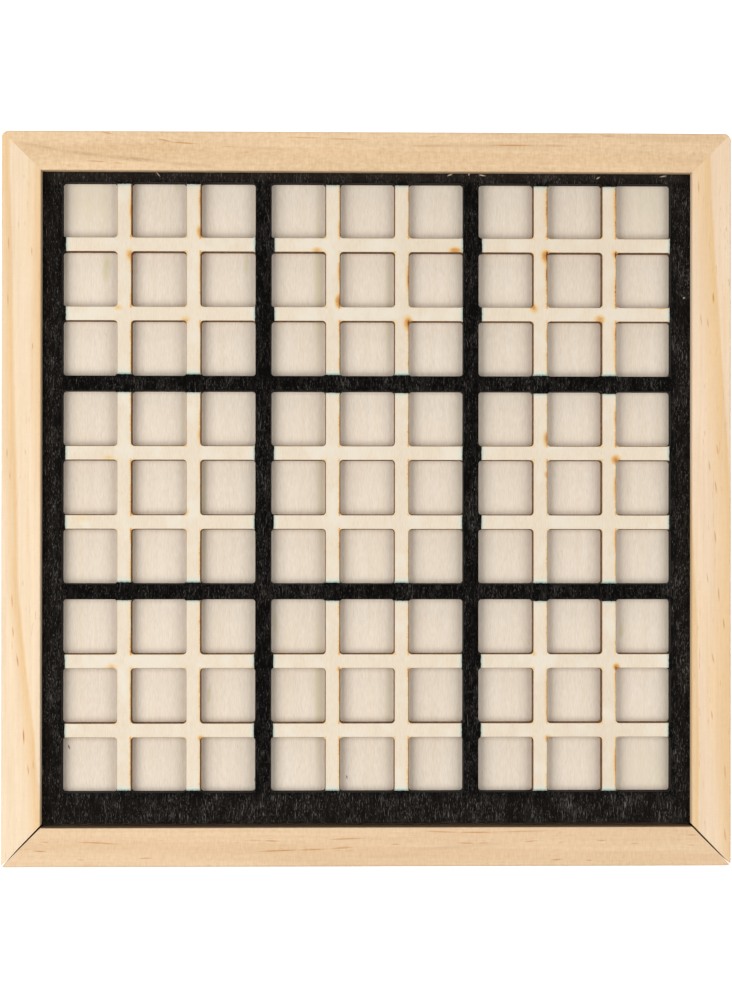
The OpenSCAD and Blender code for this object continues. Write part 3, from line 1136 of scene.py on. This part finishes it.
SMOOTH = Texture((0.55, 0.82, 1.15), patch=0.20, streak=0.26, fibre=0.14, saw=0.06, mottle=0.08)
SAWN = Texture((0.75, 1.03, 1.4), patch=0.24, streak=0.14, fibre=0.06, saw=0.30, mottle=0.34)
COMBED = Texture((0.72, 1.03, 1.45), patch=0.18, streak=0.18, fibre=0.08, saw=0.24, mottle=0.18)
ON_AXIS = (0.0, 0.0, RAIL_TOP)
DRAWER_TONES = tone(240, 214, 176), tone(226, 188, 142)


def rail_materials():
    """Pine of the four rails and of the drawer's sides and back, by node."""
    return {
        # The second value of each inward is how much painted shade darkens the top of that inner face
        "back_rail": pine(
            "pine_back", X, (tone(240, 207, 165), tone(237, 201, 158)),
            Rings((-60.0, 109.0, RAIL_TOP), spacing=9.0, dark=0.6, lean=20.0),
            SAWN, seed=3, inward=((0.0, -1.0, 0.0), 0.15), dashes=BACK_DASHES, smears=BACK_SMEARS,
        ),
        "left_rail": pine(
            "pine_left", Y, (tone(250, 225, 192), tone(241, 202, 150)),
            Rings((-109.0, 52.5, RAIL_TOP), spacing=14.0, dark=0.3, lean=15.0, drift=(-18.0, -108.0, -5.5)),
            SMOOTH, seed=5, inward=((1.0, 0.0, 0.0), 0.35), dashes=LEFT_DASHES, bands=LEFT_BANDS,
        ),
        "right_rail": pine(
            "pine_right", Y, (tone(250, 223, 191), tone(242, 203, 150)),
            Rings((106.3, 0.0, RAIL_TOP), 11.9, dark=0.6, lean=15.0, slope=0.0, drift=(118.0, -55.0, -8.0)),
            SMOOTH, seed=8, inward=((-1.0, 0.0, 0.0), 0.03), dashes=RIGHT_DASHES, smears=RIGHT_SMEARS,
            bands=RIGHT_BANDS,
        ),
        "drawer_front": pine(
            "pine_front", X, (tone(238, 206, 167), tone(234, 199, 158)),
            Rings((0.0, -107.0, RAIL_TOP), spacing=8.0, dark=0.6, lean=40.0),
            COMBED, seed=11, inward=((0.0, 1.0, 0.0), 0.85), dashes=FRONT_DASHES, smears=FRONT_SMEARS,
        ),
        "drawer_left_side": pine(
            "pine_drawer", Y, DRAWER_TONES,
            Rings(ON_AXIS, spacing=5.0, dark=0.5, lean=30.0), SMOOTH, seed=14,
        ),
        "drawer_back": pine(
            "pine_drawer_back", X, DRAWER_TONES,
            Rings(ON_AXIS, spacing=5.0, dark=0.5, lean=60.0), SMOOTH, seed=16,
        ),
    }


def sheet_materials():
    """Bare plywood by node, and the materials of the pieces made here by name."""
    floor_stains = (
        (FLOOR_SMUDGES, FLOOR_TOP, SMUDGE),
        (FLOOR_NICKS, FLOOR_TOP, NICK),
    )
    return {
        "base_panel": plywood("ply_floor", Y, tone(239, 224, 205), seed=21, stains=floor_stains),
        "bottom_panel": plywood("ply_bottom", X, tone(232, 214, 186), seed=24, figure=0.45),
        "drawer_floor": plywood("ply_drawer_floor", X, tone(234, 216, 188), seed=27, figure=0.35),
        "sheet_back": plywood("ply_sheet_back", Y, tone(236, 222, 200), seed=29),
        "tile_face": plywood("tile_face", Y, tone(238, 222, 194), seed=33),
        "painted_sheet": painted_sheet(),
        "painted_edge": painted_edge(),
        "cut_edge": cut_edge(),
        "ink": ink(),
    }


def dress_frame():
    """Gives each CAD node that keeps its shape the material of its name, all over."""
    for node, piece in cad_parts.items():
        if node in MATERIAL:
            piece.data.materials.clear()
            piece.data.materials.append(MATERIAL[node])


def seen_directly(tree):
    """1 for light that the camera sees straight, or in a reflection or through glass, and 0 for all other."""
    path = tree.nodes.new("ShaderNodeLightPath")
    seen = path.outputs["Is Camera Ray"]
    for ray in ("Is Glossy Ray", "Is Transmission Ray"):
        either = tree.nodes.new("ShaderNodeMath")
        either.operation = "MAXIMUM"
        tree.links.new(seen, either.inputs[0])
        tree.links.new(path.outputs[ray], either.inputs[1])
        seen = either.outputs[0]
    return seen


def studio_floor():
    """A pale floor that looks white round the object and keeps its real shadow under it, with a painted
    contact shadow where its glow fades out next to it.
    """
    mesh = bpy.data.meshes.new("studio_floor")
    reach = FLOOR_REACH * MM
    corners = [(x * reach, y * reach, 0.0) for x, y in ((-1, -1), (1, -1), (1, 1), (-1, 1))]
    mesh.from_pydata(corners, [], [(0, 1, 2, 3)])
    floor = put_in_scene("studio_floor", mesh)
    floor.location.z = -FLOOR_DROP * MM
    g = Graph("studio_floor")
    half = [v / MM for v in cad_box[1]]
    past = g.split(g.vector("SUBTRACT", g.vector("ABSOLUTE", g.place), (half[X], half[Y], 0.0)))
    away = g.math("MAXIMUM", past[X], past[Y])
    level = g.raised(g.step(away, *GLOW_FILLS), FLOOR_GLOW, 1.0 - FLOOR_GLOW)
    # Painted contact shadow: no glow within a few millimetres of the object, on top of its real shadow
    outside = g.times(g.step(away, *GLOW_STARTS), level)
    g.shader.inputs["Emission Color"].default_value = WHITE
    g.put(g.shader.inputs["Emission Strength"], g.times(outside, seen_directly(g.tree)))
    mesh.materials.append(g.finish(FLOOR_PAINT, roughness=0.9, specular=0.0))


def studio_world():
    """Even pale light from all round, white where it is seen."""
    world = bpy.data.worlds.new("studio")
    bpy.context.scene.world = world
    world.use_nodes = True
    tree = world.node_tree
    background = tree.nodes["Background"]
    background.inputs["Color"].default_value = WHITE
    level = tree.nodes.new("ShaderNodeMapRange")
    level.inputs["To Min"].default_value = WORLD_LIGHT
    level.inputs["To Max"].default_value = 1.0
    tree.links.new(seen_directly(tree), level.inputs["Value"])
    tree.links.new(level.outputs[0], background.inputs["Strength"])


def soft_lamp(name, place, size, power):
    """A large rectangular lamp that points at the board."""
    lamp = bpy.data.lights.new(name, "AREA")
    lamp.shape = "RECTANGLE"
    lamp.size, lamp.size_y = size
    lamp.energy = power
    holder = put_in_scene(name, lamp)
    holder.location = place
    away = Vector(place) - Vector(LAMP_AIM)
    holder.rotation_euler = away.to_track_quat("Z", "Y").to_euler()


def photo_camera():
    """The camera of the photograph, nearly straight above the board."""
    data = bpy.data.cameras.new("photo_camera")
    data.sensor_fit = "VERTICAL"
    data.sensor_height = SENSOR_HEIGHT
    data.lens = CAMERA_LENS
    data.clip_start = CAMERA_CLIP * MM
    camera = put_in_scene("photo_camera", data)
    camera.location = [v * MM for v in CAMERA_PLACE]
    camera.rotation_euler = [math.radians(v) for v in CAMERA_TURN]
    bpy.context.scene.camera = camera


MATERIAL = {**rail_materials(), **sheet_materials()}
MATERIAL["drawer_right_side"] = MATERIAL["drawer_left_side"]
dress_frame()
grid_sheet()
for number in range(1, CELLS_ACROSS + 1):
    number_tiles(number)
studio_floor()
studio_world()
for lamp in LAMPS:
    soft_lamp(*lamp)
photo_camera()
bpy.context.scene.view_settings.view_transform = "Standard"
